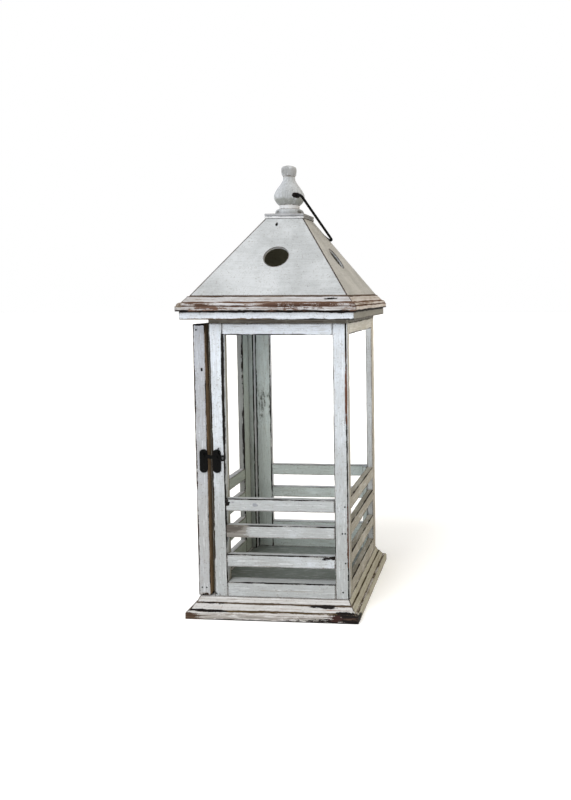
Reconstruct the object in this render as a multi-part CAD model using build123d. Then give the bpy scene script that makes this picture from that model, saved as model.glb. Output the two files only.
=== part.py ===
from build123d import *
import math
import os

# Candle lantern: a square timber case on a moulded base, with a hinged side door, a hipped
# roof with round vents, a turned finial and a wire bail. Millimetres, +Z up.
# The origin is on the floor under the middle of the base; -Y is the front, -X the door side.

# ---- base ----
base_width = 250.0           # outer width of the base moulding at the floor
base_height = 27.5           # floor to the top face that carries the case
base_toe_height = 7.0        # upright face of the lowest step
base_shoulder_run = 3.8      # rounded shoulder above the toe, inwards
base_shoulder_rise = 4.6     # rounded shoulder above the toe, upwards
base_quirk = 1.4             # flat step between two members of the moulding
base_cap_run = 3.6           # sloped top member, inwards
base_cap_rise = 7.5          # sloped top member, upwards
base_inset = 19.5            # inner face of the moulding, inside the case's outer face
base_margin = 0.3            # the base's top face shows this much beyond the case
floor_thickness = 12.5       # floor board let into the base
floor_ledge = 9.0            # width of the ledge that carries the floor board

# ---- case ----
case_width = 218.0           # outside of the case, both ways, without the door margin
case_height = 394.0          # top of the base to the top of the frames
door_margin = 2.0            # the door side stands this much further out than the others
front_board = 11.0           # thickness of the front frame
side_board = 10.0            # thickness of the right and back frames
left_stile_width = 19.2      # front frame, door side
right_stile_width = 19.5     # front frame, right side
rear_stile_width = 25.6      # back frame, door side
side_front_stile_width = 10.0
side_rear_stile_width = 20.0
top_rail_height = 16.5
bottom_rail_height = 21.6
bottom_rail_depth = 19.5     # the front bottom rail is thicker than its frame
back_board_height = 44.7     # wide board at the foot of the back frame
slat_height = 18.0
slat_upper_level = 125.5     # bottom of the upper slats above the base
slat_middle_level = 87.0     # bottom of the middle slats above the base
slat_lower_level = 44.2      # bottom of the lower slats above the base
cleat_width = 8.0            # corner cleat that the back slats are nailed to
cleat_depth = 10.0
jamb_cover = 17.2            # how far the jamb runs on behind the front frame's stile
jamb_depth = 11.0
post_width = 17.6            # corner post that the door hangs on
post_depth = 20.0
edge_round = 0.7             # softened arris of every board

# ---- door leaf ----
leaf_foot_gap = 1.2          # leaf above the base
leaf_head_gap = 1.0          # leaf below the top of the frames
leaf_front_stile_width = 20.0
leaf_front_stile_thickness = 17.5
leaf_rear_stile_width = 27.0
leaf_board = 10.0            # thickness of the leaf's rear stile, rails and slats
leaf_post_gap = 0.8          # leaf to the post that it hangs on
leaf_jamb_gap = 0.3          # front stile to the jamb that it closes against
seam_width = 6.0             # open seam between the leaf's front stile and the front frame
leaf_rail_height = 16.5
leaf_bottom_rail_height = 23.0
leaf_slat_raise = 1.0        # the leaf's slats sit a little above those of the frames

# ---- hinges ----
hinge_height = 39.0
hinge_plate_width = 15.0
hinge_plate = 1.2
hinge_axis_offset = 3.0      # pin centre outside the face of the leaf
knuckle_radius = 2.6
knuckle_gap = 0.4
hinge_pin_radius = 1.4
hinge_pin_clearance = 0.06
hinge_pin_overhang = 0.8
hinge_plate_relief = 3.2     # plate edge to the pin centre, away from its own knuckles
hinge_low_level = 68.0       # middle of the lower hinge above the base
hinge_high_level = 322.0     # middle of the upper hinge above the base
hinge_screw_pitch = 11.5
screw_radius = 1.2
screw_clearance = 0.05
screw_length = 9.0
screw_head_radius = 2.2
screw_head_height = 0.9
screw_slot_width = 0.6
screw_slot_depth = 0.4

# ---- latch ----
latch_level = 197.6          # middle of both plates above the base
latch_plate_width = 11.6
latch_plate_height = 33.6
latch_plate_corner = 5.3
latch_plate = 1.4
latch_door_inset = 5.4       # middle of the door plate from the leaf's inner face
latch_post_inset = 8.0      # middle of the post plate from the front stile's outer edge
lever_gap = 0.3              # lever in front of the plates
lever_thickness = 2.0
lever_pivot_rise = 7.6       # pivot above the middle of the plate
lever_pivot_radius = 1.6
lever_pivot_clearance = 0.06
lever_eye_radius = 3.9
lever_bar_height = 4.8
lever_pad_radius = 5.4
lever_reach = 28.6           # pivot to the finger ring, sideways
lever_ring_drop = 2.8        # pivot to the finger ring, downwards
lever_ring_radius = 4.2
lever_ring_hole_radius = 1.9
lever_horn_base = 3.4
lever_horn_tip = 1.0
lever_horn_run = 3.4
lever_horn_rise = 13.0
stud_radius = 1.6
stud_drop = 2.2              # stud below the lever's pivot
stud_clearance = 0.5
notch_flare = 1.8            # the notch opens towards the pivot by this much at its mouth
notch_mouth_drop = 8.0       # mouth of the notch below the stud
stud_pad_rise = 1.3          # lever pad above the stud
rivet_head_radius = 2.7
rivet_head_height = 1.0
plate_nail_drops = (5.0, 13.0)   # below the middle of the plate

# ---- nails ----
nail_radius = 0.7
nail_length = 14.0
nail_head_radius = 1.1
nail_head_height = 0.4
nail_edge_inset = 4.6        # row of nails from the outer edge of the stile
nail_row_step = 4.0          # second row of nails, further in
leaf_nail_inset = 5.2
leaf_nail_pitch = 6.6

# ---- eaves ----
top_plate_thickness = 5.8
top_plate_rim = 20.0         # width of the top plate's rim
eave_board_width = 247.0
eave_board_thickness = 11.5
eave_opening_width = 160.0   # warm air rises through this opening into the roof
eave_overhang = 4.0          # eave moulding beyond the eave board
eave_height = 21.0
eave_lip_height = 7.2        # upright face of the eave moulding
eave_quirk = 1.3
eave_bead_run = 3.2
eave_bead_rise = 4.9
eave_crown_run = 6.7         # sloped top member, inwards
eave_crown_rise = 7.9        # sloped top member, upwards
eave_rail_width = 27.0

# ---- roof ----
roof_margin = 2.0            # top of the eave moulding beyond the foot of the panels
roof_top_width = 57.6        # outside of the panels under the cap
roof_rise = 115.5
roof_thickness = 4.0
vent_radius = 17.8
vent_up = 69.8               # eaves to the middle of the vent, along the slope
apex_block_height = 24.0
cap_margin = 1.1             # cap beyond the top of the panels
cap_height = 7.2
cap_groove = 0.9
cap_groove_height = 0.8
cap_groove_level = 3.2

# ---- finial ----
flange_radius = 21.5
flange_height = 9.0
flange_round = 6.0
ring_radius = 15.1
ring_height = 5.8
bulb_radius = 23.1
bulb_level = 27.0
bulb_shoulder = [(18.4, 17.4), (21.0, 21.0)]   # radius and level, below the widest place
bulb_taper = [(20.6, 35.6), (17.4, 40.8), (13.9, 45.4), (10.6, 50.6)]
neck_radius = 9.0
neck_level = 57.0
knob_foot_radius = 10.5      # the knob is a shallow cup standing proud of the neck
knob_foot_level = 60.4
knob_radius = 11.4
knob_level = 69.0
knob_shoulder = [(10.4, 72.4), (5.0, 74.7)]
finial_height = 75.3

# ---- finial screw ----
finial_screw_radius = 2.0
finial_screw_length = 46.0
finial_screw_clearance = 0.1
finial_screw_head_radius = 5.0
finial_screw_head_height = 2.6

# ---- bail ----
bail_wire_radius = 2.0
bail_hole_clearance = 0.08
bail_pivot_level = 28.4      # above the foot of the finial
bail_hole_depth = 12.0       # from the bulb's surface
bail_end_gap = 1.0           # wire end to the bottom of its hole
bail_eye_width = 68.0        # between the two bends beside the finial
bail_eye_bend = 4.0
bail_reach = 98.4            # pivot to the middle of the wire at the tip
bail_tip_bend = 6.0
bail_seat_gap = 0.3          # wire above the roof's hip at rest

# ---- places worked out from the sizes ----
case_half = case_width / 2
left_face = -case_half - door_margin
leaf_inner = left_face + leaf_front_stile_thickness
frame_left = leaf_inner + seam_width
post_right = left_face + post_width
frame_right = case_half
front_face = -case_half
back_face = case_half
front_inner = front_face + front_board
back_inner = back_face - side_board
right_inner = frame_right - side_board
side_front = front_inner + side_front_stile_width
side_rear = back_face - side_rear_stile_width
front_open_left = frame_left + left_stile_width
front_open_right = frame_right - right_stile_width
back_open_left = post_right + rear_stile_width
post_front = back_face - post_depth
case_foot = base_height
case_top = base_height + case_height
plate_top = case_top + top_plate_thickness
board_top = plate_top + eave_board_thickness
eaves_top = board_top + eave_height
roof_top = eaves_top + roof_rise
cap_top = roof_top + cap_height
pivot_height = cap_top + bail_pivot_level
eave_board_half = eave_board_width / 2
eave_half = eave_board_half + eave_overhang
mitre_reach = 2 * max(base_width, eave_board_width)

os.makedirs("parts", exist_ok=True)


def save(shape, node):
    """Write one sub-part."""
    export_step(shape, f"parts/{node}.step")


def block(x_span, y_span, z_span):
    """Plain block between two values on each axis."""
    size = [span[1] - span[0] for span in (x_span, y_span, z_span)]
    middle = [(span[0] + span[1]) / 2 for span in (x_span, y_span, z_span)]
    return Pos(*middle) * Box(*size)


def board(x_span, y_span, z_span):
    """Block with its arrises softened."""
    solid = block(x_span, y_span, z_span)
    return fillet(solid.edges(), edge_round)


def mitred_side(profile):
    """Front length of a square ring: profile points are (distance from the middle, height)."""
    plane = Plane(origin=(mitre_reach, 0, 0), x_dir=(0, -1, 0), z_dir=(-1, 0, 0))
    bar = extrude(plane * make_face(profile), amount=2 * mitre_reach)
    corner = mitre_reach
    wedge_face = make_face(Polyline((0, 0), (-corner, -corner), (corner, -corner), close=True))
    wedge = extrude(wedge_face, amount=roof_top)
    return bar & wedge


def around(front_piece):
    """The four mitred sides of a ring, made by turning the front one."""
    sides = ("front", "right", "back", "left")
    return {side: Rot(0, 0, 90 * turn) * front_piece for turn, side in enumerate(sides)}


def outline(points):
    """Straight-sided closed outline."""
    return Polyline(*points, close=True)


def nail(place, turn):
    """Round-headed nail: the shank runs along local -Z from the surface."""
    shank = Pos(0, 0, -nail_length / 2) * Cylinder(nail_radius, nail_length)
    head = Pos(0, 0, nail_head_height / 2) * Cylinder(nail_head_radius, nail_head_height)
    return Pos(*place) * turn * (shank + head)


def nail_hole(place, turn):
    """Hole that a nail's shank fills."""
    shank = Pos(0, 0, -nail_length / 2) * Cylinder(nail_radius, nail_length)
    return Pos(*place) * turn * shank


def screw(place, turn):
    """Slotted round-head screw: the shank runs along local -Z from under the head."""
    shank = Pos(0, 0, -screw_length / 2) * Cylinder(screw_radius, screw_length)
    head = Pos(0, 0, screw_head_height / 2) * Cylinder(screw_head_radius, screw_head_height)
    slot_middle = screw_head_height - screw_slot_depth / 2
    slot = Pos(0, 0, slot_middle) * Box(2 * screw_head_radius, screw_slot_width, screw_slot_depth)
    return Pos(*place) * turn * (shank + head - slot)


def screw_hole(place, turn):
    """Clearance hole for a screw's shank, through the plate and into the wood."""
    radius = screw_radius + screw_clearance
    return Pos(*place) * turn * Pos(0, 0, -screw_length / 2) * Cylinder(radius, screw_length)


def cut(shape, holes):
    """The shape with a list of holes taken out."""
    for hole in holes:
        shape = shape - hole
    return shape


# ---- base: four mitred mouldings round a floor board ----
base_half = base_width / 2
base_top_half = case_half + base_margin
shoulder_top = base_toe_height + base_shoulder_rise
cap_foot = base_height - base_cap_rise
shoulder_half = base_half - base_shoulder_run
slope_foot_half = shoulder_half - base_quirk
cap_half_foot = base_top_half + base_cap_run
slope_top_half = cap_half_foot + base_quirk
base_inner = case_half - base_inset
ledge_level = base_height - floor_thickness
floor_half = base_inner + floor_ledge
bulge = math.sqrt(0.5)
shoulder_middle = (
    shoulder_half + base_shoulder_run * bulge,
    base_toe_height + base_shoulder_rise * bulge,
)
base_profile = [
    Line((base_half, 0), (base_half, base_toe_height)),
    ThreePointArc((base_half, base_toe_height), shoulder_middle, (shoulder_half, shoulder_top)),
    Polyline(
        (shoulder_half, shoulder_top),
        (slope_foot_half, shoulder_top),
        (slope_top_half, cap_foot),
        (cap_half_foot, cap_foot),
        (base_top_half, base_height),
        (floor_half, base_height),
        (floor_half, ledge_level),
        (base_inner, ledge_level),
        (base_inner, 0),
        (base_half, 0),
    ),
]
for side, piece in around(mitred_side(base_profile)).items():
    save(piece, f"base_moulding_{side}")
floor_span = (-floor_half, floor_half)
save(block(floor_span, floor_span, (ledge_level, base_height)), "base_board")

# ---- nails, with the holes that they fill ----
facing_front = Rot(90, 0, 0)
facing_right = Rot(0, 90, 0)
slat_levels = {
    "upper": case_foot + slat_upper_level,
    "middle": case_foot + slat_middle_level,
    "lower": case_foot + slat_lower_level,
}
outer_row = frame_right - nail_edge_inset
inner_row = outer_row - nail_row_step
slat_middle_height = slat_height / 2
nail_places = [(outer_row, front_face, level + slat_middle_height) for level in slat_levels.values()]
nail_places.append((inner_row, front_face, slat_levels["middle"] + slat_middle_height))
nail_places.append((inner_row, front_face, case_foot + bottom_rail_height / 2))
front_nails = [nail(place, facing_front) for place in nail_places]
front_nail_holes = [nail_hole(place, facing_front) for place in nail_places]
rear_nail_y = back_inner - cleat_depth / 2
rear_nail_place = (frame_right, rear_nail_y, slat_levels["middle"] + slat_middle_height)
rear_nail_hole = nail_hole(rear_nail_place, facing_right)

# ---- front frame ----
frame_height = (case_foot, case_top)
front_depth = (front_face, front_inner)
latch_height = case_foot + latch_level
post_plate_x = frame_left + latch_post_inset
post_plate_nails = [
    (post_plate_x, front_face - latch_plate, latch_height - drop)
    for drop in plate_nail_drops
]
post_plate_holes = [nail_hole(place, facing_front) for place in post_plate_nails]
left_stile = board((frame_left, front_open_left), front_depth, frame_height)
save(cut(left_stile, post_plate_holes), "front_left_stile")
right_stile = board((front_open_right, frame_right), front_depth, frame_height)
save(cut(right_stile, front_nail_holes), "front_right_stile")

front_span = (front_open_left, front_open_right)
save(board(front_span, front_depth, (case_top - top_rail_height, case_top)), "front_top_rail")
for name, level in slat_levels.items():
    save(board(front_span, front_depth, (level, level + slat_height)), f"front_slat_{name}")
bottom_rail_span = (case_foot, case_foot + bottom_rail_height)
bottom_rail_y = (front_face, front_face + bottom_rail_depth)
save(board(front_span, bottom_rail_y, bottom_rail_span), "front_bottom_rail")

# ---- right frame ----
side_thickness = (right_inner, frame_right)
side_front_stile = board(side_thickness, (front_inner, side_front), frame_height)
save(cut(side_front_stile, front_nail_holes), "right_front_stile")
side_rear_stile = board(side_thickness, (side_rear, back_face), frame_height)
side_span = (side_front, side_rear)
save(board(side_thickness, side_span, (case_top - top_rail_height, case_top)), "right_top_rail")
for name, level in slat_levels.items():
    save(board(side_thickness, side_span, (level, level + slat_height)), f"right_slat_{name}")
save(board(side_thickness, side_span, bottom_rail_span), "right_bottom_rail")

# ---- back frame ----
back_depth = (back_inner, back_face)
back_span = (back_open_left, right_inner)
slat_top = slat_levels["upper"] + slat_height
cleat_span = (right_inner - cleat_width, right_inner)
cleat = board(cleat_span, (back_inner - cleat_depth, back_inner), (case_foot, slat_top))
save(cut(cleat, [rear_nail_hole]), "corner_cleat")
save(cut(side_rear_stile, [rear_nail_hole]), "right_rear_stile")
save(board(back_span, back_depth, (case_top - top_rail_height, case_top)), "back_top_rail")
for name in ("upper", "middle"):
    level = slat_levels[name]
    save(board(back_span, back_depth, (level, level + slat_height)), f"back_slat_{name}")
save(board(back_span, back_depth, (case_foot, case_foot + back_board_height)), "back_bottom_board")

# ---- jamb that the door closes against ----
jamb_depth_span = (front_inner, front_inner + jamb_depth)
jamb_span = (leaf_inner + leaf_jamb_gap, frame_left + jamb_cover)
jamb = board(jamb_span, jamb_depth_span, frame_height)
save(cut(jamb, post_plate_holes), "door_jamb")

# ---- door leaf ----
leaf_foot = case_foot + leaf_foot_gap
leaf_top = case_top - leaf_head_gap
leaf_height = (leaf_foot, leaf_top)
leaf_front_edge = front_face + leaf_front_stile_width
leaf_end = post_front - leaf_post_gap
leaf_rear_edge = leaf_end - leaf_rear_stile_width
door_plate_x = leaf_inner - latch_door_inset
door_plate_nails = [
    (door_plate_x, front_face - latch_plate, latch_height - drop)
    for drop in plate_nail_drops
]
leaf_nail_height = leaf_foot + leaf_bottom_rail_height / 2
leaf_nail_places = [
    (left_face + leaf_nail_inset + step * leaf_nail_pitch, front_face, leaf_nail_height)
    for step in (0, 1)
]
leaf_nail_places.append((left_face + leaf_nail_inset, front_face, leaf_top - leaf_rail_height / 2))
leaf_nail_holes = [nail_hole(place, facing_front) for place in leaf_nail_places + door_plate_nails]
leaf_front_stile = board((left_face, leaf_inner), (front_face, leaf_front_edge), leaf_height)
save(cut(leaf_front_stile, leaf_nail_holes), "door_front_stile")

leaf_board_span = (left_face, left_face + leaf_board)
leaf_open_span = (leaf_front_edge, leaf_rear_edge)
leaf_top_span = (leaf_top - leaf_rail_height, leaf_top)
save(board(leaf_board_span, leaf_open_span, leaf_top_span), "door_top_rail")
leaf_bottom_span = (leaf_foot, leaf_foot + leaf_bottom_rail_height)
save(board(leaf_board_span, leaf_open_span, leaf_bottom_span), "door_bottom_rail")
for name, level in slat_levels.items():
    foot = level + leaf_slat_raise
    save(board(leaf_board_span, leaf_open_span, (foot, foot + slat_height)), f"door_slat_{name}")

# ---- hinges across the outside of the leaf and the post ----
# Each hinge is drawn flat, its pin at the middle and +Y out of the wood, then turned on its place.
hinge_y = (leaf_end + post_front) / 2
knuckle_height = (hinge_height - 2 * knuckle_gap) / 3
facing_out = Rot(-90, 0, 0)
screw_side = hinge_plate_relief + (hinge_plate_width - hinge_plate_relief) / 2


def hinge_screw_places(direction):
    """Places of one hinge leaf's three screws; direction is the side of the pin it lies on."""
    return [(direction * screw_side, hinge_plate, step * hinge_screw_pitch) for step in (-1, 0, 1)]


def knuckle_spans(own):
    """Height spans of the chosen thirds of the barrel."""
    pitch = knuckle_height + knuckle_gap
    feet = [index * pitch - hinge_height / 2 for index in own]
    return [(foot, foot + knuckle_height) for foot in feet]


def hinge_leaf(direction, own):
    """One leaf of a butt hinge: a plate with its knuckles round the pin."""
    near = direction * hinge_plate_relief
    far = direction * hinge_plate_width
    plate_x = (min(near, far), max(near, far))
    leaf = block(plate_x, (0, hinge_plate), (-hinge_height / 2, hinge_height / 2))
    for low, high in knuckle_spans(own):
        tab_x = (min(0, near), max(0, near))
        tab = block(tab_x, (hinge_axis_offset - knuckle_radius, hinge_plate), (low, high))
        barrel = Pos(0, hinge_axis_offset, (low + high) / 2) * Cylinder(knuckle_radius, high - low)
        leaf = leaf + tab + barrel
    bore = Cylinder(hinge_pin_radius + hinge_pin_clearance, hinge_height)
    holes = [screw_hole(place, facing_out) for place in hinge_screw_places(direction)]
    return cut(leaf - Pos(0, hinge_axis_offset, 0) * bore, holes)


hinge_middles = (case_foot + hinge_low_level, case_foot + hinge_high_level)
hinge_pin = Cylinder(hinge_pin_radius, hinge_height + 2 * hinge_pin_overhang)
frame_leaves = []
door_leaves = []
frame_screws = []
frame_screw_holes = []
leaf_screws = []
leaf_screw_holes = []
hinge_pins = []
for middle in hinge_middles:
    seat = Pos(left_face, hinge_y, middle) * Rot(0, 0, 90)
    frame_leaves.append(seat * hinge_leaf(1, (0, 2)))
    door_leaves.append(seat * hinge_leaf(-1, (1,)))
    for place in hinge_screw_places(1):
        frame_screws.append(seat * screw(place, facing_out))
        frame_screw_holes.append(seat * screw_hole(place, facing_out))
    for place in hinge_screw_places(-1):
        leaf_screws.append(seat * screw(place, facing_out))
        leaf_screw_holes.append(seat * screw_hole(place, facing_out))
    hinge_pins.append(seat * Pos(0, hinge_axis_offset, 0) * hinge_pin)
save(Compound(children=frame_leaves), "hinge_frame_leaves")
save(Compound(children=door_leaves), "hinge_door_leaves")
save(Compound(children=hinge_pins), "hinge_pins")
save(Compound(children=frame_screws), "hinge_frame_screws")
save(Compound(children=leaf_screws), "hinge_door_screws")

save(board((post_right, back_open_left), back_depth, frame_height), "back_left_stile")
post = board((left_face, post_right), (post_front, back_face), frame_height)
save(cut(post, frame_screw_holes), "rear_left_post")
leaf_rear_stile = board(leaf_board_span, (leaf_rear_edge, leaf_end), leaf_height)
save(cut(leaf_rear_stile, leaf_screw_holes), "door_rear_stile")

# ---- latch: a plate on the leaf with a swinging lever, and a plate with a stud on the stile ----
plate_face = front_face - latch_plate
lever_back = plate_face - lever_gap
lever_front = lever_back - lever_thickness
rivet_back = lever_front - lever_gap
rivet_front = rivet_back - rivet_head_height
pivot_z = latch_height + lever_pivot_rise
stud_z = pivot_z - stud_drop


def along_y(radius, place_x, place_z, y_span):
    """Cylinder along Y between two depths."""
    length = y_span[1] - y_span[0]
    middle = (y_span[0] + y_span[1]) / 2
    return Pos(place_x, middle, place_z) * Rot(90, 0, 0) * Cylinder(radius, length)


def latch_plate_with_pin(place_x, pin_z, pin_radius, nail_spots):
    """Rounded plate with a headed pin standing out of it."""
    face = RectangleRounded(latch_plate_width, latch_plate_height, latch_plate_corner)
    plate = extrude(Pos(place_x, plate_face, latch_height) * Rot(-90, 0, 0) * face, latch_plate)
    neck = along_y(pin_radius, place_x, pin_z, (rivet_back, front_face))
    head = along_y(rivet_head_radius, place_x, pin_z, (rivet_front, rivet_back))
    return cut(plate + neck + head, [nail_hole(spot, facing_front) for spot in nail_spots])


door_plate = latch_plate_with_pin(door_plate_x, pivot_z, lever_pivot_radius, door_plate_nails)
save(door_plate, "latch_door_plate")
post_plate = latch_plate_with_pin(post_plate_x, stud_z, stud_radius, post_plate_nails)
save(post_plate, "latch_post_plate")

lever_span = (lever_front, lever_back)
ring_x = door_plate_x + lever_reach
ring_z = pivot_z - lever_ring_drop
lever_tilt = math.atan2(ring_z - pivot_z, lever_reach)
bar_length = math.hypot(lever_reach, lever_ring_drop)
bar_turn = Rot(0, -math.degrees(lever_tilt), 0)
bar_middle = ((door_plate_x + ring_x) / 2, (lever_front + lever_back) / 2, (pivot_z + ring_z) / 2)
lever = Pos(*bar_middle) * bar_turn * Box(bar_length, lever_thickness, lever_bar_height)
lever = lever + along_y(lever_eye_radius, door_plate_x, pivot_z, lever_span)
lever = lever + along_y(lever_pad_radius, post_plate_x, stud_z + stud_pad_rise, lever_span)
lever = lever + along_y(lever_ring_radius, ring_x, ring_z, lever_span)
horn_foot = (post_plate_x, stud_z + stud_pad_rise)
horn_points = [
    (horn_foot[0] - lever_horn_base / 2, horn_foot[1]),
    (horn_foot[0] + lever_horn_base / 2, horn_foot[1]),
    (horn_foot[0] + lever_horn_run + lever_horn_tip / 2, horn_foot[1] + lever_horn_rise),
    (horn_foot[0] + lever_horn_run - lever_horn_tip / 2, horn_foot[1] + lever_horn_rise),
]
lever_plane = Plane(origin=(0, lever_back, 0), x_dir=(1, 0, 0), z_dir=(0, -1, 0))
lever = lever + extrude(lever_plane * make_face(outline(horn_points)), amount=lever_thickness)
eye_radius = lever_pivot_radius + lever_pivot_clearance
lever = lever - along_y(eye_radius, door_plate_x, pivot_z, lever_span)
lever = lever - along_y(lever_ring_hole_radius, ring_x, ring_z, lever_span)
notch_radius = stud_radius + stud_clearance
lever = lever - along_y(notch_radius, post_plate_x, stud_z, lever_span)
notch_points = [
    (post_plate_x - notch_radius, stud_z),
    (post_plate_x + notch_radius, stud_z),
    (post_plate_x + notch_radius, stud_z - notch_mouth_drop),
    (post_plate_x - notch_radius - notch_flare, stud_z - notch_mouth_drop),
]
notch = extrude(lever_plane * make_face(outline(notch_points)), amount=lever_thickness)
save(lever - notch, "latch_lever")

frame_nails = front_nails + [nail(rear_nail_place, facing_right)]
frame_nails = frame_nails + [nail(place, facing_front) for place in post_plate_nails]
save(Compound(children=frame_nails), "frame_nails")
door_nails = [nail(place, facing_front) for place in leaf_nail_places + door_plate_nails]
save(Compound(children=door_nails), "door_nails")

# ---- top plate and eave board ----
plate_outer = block((frame_left, frame_right), (front_face, back_face), (case_top, plate_top))
plate_hole = block(
    (frame_left + top_plate_rim, frame_right - top_plate_rim),
    (front_face + top_plate_rim, back_face - top_plate_rim),
    (case_top, plate_top),
)
save(plate_outer - plate_hole, "top_plate")
eave_board_span = (-eave_board_half, eave_board_half)
eave_board = board(eave_board_span, eave_board_span, (plate_top, board_top))
opening_half = eave_opening_width / 2
opening_span = (-opening_half, opening_half)
save(eave_board - block(opening_span, opening_span, (plate_top, board_top)), "eave_board")

# ---- eave moulding ----
lip_top = board_top + eave_lip_height
bead_half = eave_half - eave_quirk
bead_top = lip_top + eave_bead_rise
bead_top_half = bead_half - eave_bead_run
crown_foot_half = bead_top_half - eave_quirk
crown_top = bead_top + eave_crown_rise
crown_top_half = crown_foot_half - eave_crown_run
eave_inner = eave_half - eave_rail_width
bead_middle = (
    bead_top_half + eave_bead_run * bulge,
    lip_top + eave_bead_rise * bulge,
)
eave_profile = [
    Polyline((bead_half, lip_top), (eave_half, lip_top), (eave_half, board_top), (eave_inner, board_top)),
    Polyline(
        (eave_inner, board_top),
        (eave_inner, eaves_top),
        (crown_top_half, eaves_top),
        (crown_top_half, crown_top),
        (crown_foot_half, bead_top),
        (bead_top_half, bead_top),
    ),
    ThreePointArc((bead_top_half, bead_top), bead_middle, (bead_half, lip_top)),
]
for side, piece in around(mitred_side(eave_profile)).items():
    save(piece, f"eave_moulding_{side}")

# ---- roof: four mitred panels, each with a round vent ----
roof_half = crown_top_half - roof_margin
roof_top_half = roof_top_width / 2
roof_run = roof_half - roof_top_half
roof_slope = math.atan2(roof_rise, roof_run)
level_thickness = roof_thickness / math.sin(roof_slope)
roof_profile = outline([
    (roof_half, eaves_top),
    (roof_top_half, roof_top),
    (roof_top_half - level_thickness, roof_top),
    (roof_half - level_thickness, eaves_top),
])
vent_y = -roof_half + vent_up * math.cos(roof_slope)
vent_z = eaves_top + vent_up * math.sin(roof_slope)
vent_axis = (0, -math.sin(roof_slope), math.cos(roof_slope))
vent_plane = Plane(origin=(0, vent_y, vent_z), z_dir=vent_axis)
vent_hole = vent_plane * Cylinder(vent_radius, 4 * roof_thickness)
for side, piece in around(mitred_side(roof_profile) - vent_hole).items():
    save(piece, f"roof_panel_{side}")

# ---- apex block, cap, finial and the screw that holds them together ----
block_top_half = roof_top_half - level_thickness
block_foot = roof_top - apex_block_height
block_foot_half = block_top_half + apex_block_height * roof_run / roof_rise
apex_block = loft([
    Pos(0, 0, block_foot) * Rectangle(2 * block_foot_half, 2 * block_foot_half),
    Pos(0, 0, roof_top) * Rectangle(2 * block_top_half, 2 * block_top_half),
])
screw_bore_radius = finial_screw_radius + finial_screw_clearance
screw_bore_middle = block_foot + finial_screw_length / 2
screw_bore = Pos(0, 0, screw_bore_middle) * Cylinder(screw_bore_radius, finial_screw_length)
save(apex_block - screw_bore, "apex_block")

cap_half = roof_top_half + cap_margin
groove_foot = roof_top + cap_groove_level
cap_span = (-cap_half, cap_half)
cap = board(cap_span, cap_span, (roof_top, cap_top))
groove_inner_half = cap_half - cap_groove
groove_inner = (-groove_inner_half, groove_inner_half)
groove_span = (groove_foot, groove_foot + cap_groove_height)
groove = block(cap_span, cap_span, groove_span) - block(groove_inner, groove_inner, groove_span)
save(cap - groove - screw_bore, "roof_cap")

screw_shank = Pos(0, 0, screw_bore_middle) * Cylinder(finial_screw_radius, finial_screw_length)
head_middle = block_foot - finial_screw_head_height / 2
screw_head = Pos(0, 0, head_middle) * Cylinder(finial_screw_head_radius, finial_screw_head_height)
save(screw_shank + screw_head, "finial_screw")

ring_top = flange_height + ring_height
flange_edge = flange_radius - flange_round
flange_middle = (
    flange_edge + flange_round * bulge,
    flange_height - flange_round + flange_round * bulge,
)
upright = [(0, 1), (0, 1)]
foot_tangents = [(1, 0.7), (0, 1)]
neck_tangents = [(0, 1), (1, 0.5)]
knob_tangents = [(0.3, 1), (0, 1)]
top_tangents = [(0, 1), (-1, 0)]
finial_profile = [
    Polyline((0, finial_height), (0, 0), (flange_radius, 0), (flange_radius, flange_height - flange_round)),
    ThreePointArc(
        (flange_radius, flange_height - flange_round),
        flange_middle,
        (flange_edge, flange_height),
    ),
    Polyline((flange_edge, flange_height), (ring_radius, flange_height), (ring_radius, ring_top)),
    Spline((ring_radius, ring_top), *bulb_shoulder, (bulb_radius, bulb_level), tangents=foot_tangents),
    Spline((bulb_radius, bulb_level), *bulb_taper, (neck_radius, neck_level), tangents=upright),
    Spline((neck_radius, neck_level), (knob_foot_radius, knob_foot_level), tangents=neck_tangents),
    Spline((knob_foot_radius, knob_foot_level), (knob_radius, knob_level), tangents=knob_tangents),
    Spline((knob_radius, knob_level), *knob_shoulder, (0, finial_height), tangents=top_tangents),
]
finial_plane = Plane(origin=(0, 0, cap_top), x_dir=(1, 0, 0), z_dir=(0, -1, 0))
finial = revolve(finial_plane * make_face(finial_profile), Axis.Z)

bail_axis = Vector(bulge, -bulge, 0)
hole_radius = bail_wire_radius + bail_hole_clearance
hole_foot = bulb_radius - bail_hole_depth
for direction in (-1, 1):
    hole_plane = Plane(origin=(0, 0, pivot_height), z_dir=tuple(bail_axis * direction))
    hole_middle = hole_foot + bail_hole_depth
    hole = hole_plane * Pos(0, 0, hole_middle) * Cylinder(hole_radius, 2 * bail_hole_depth)
    finial = finial - hole
save(finial - screw_bore, "finial")

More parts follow.
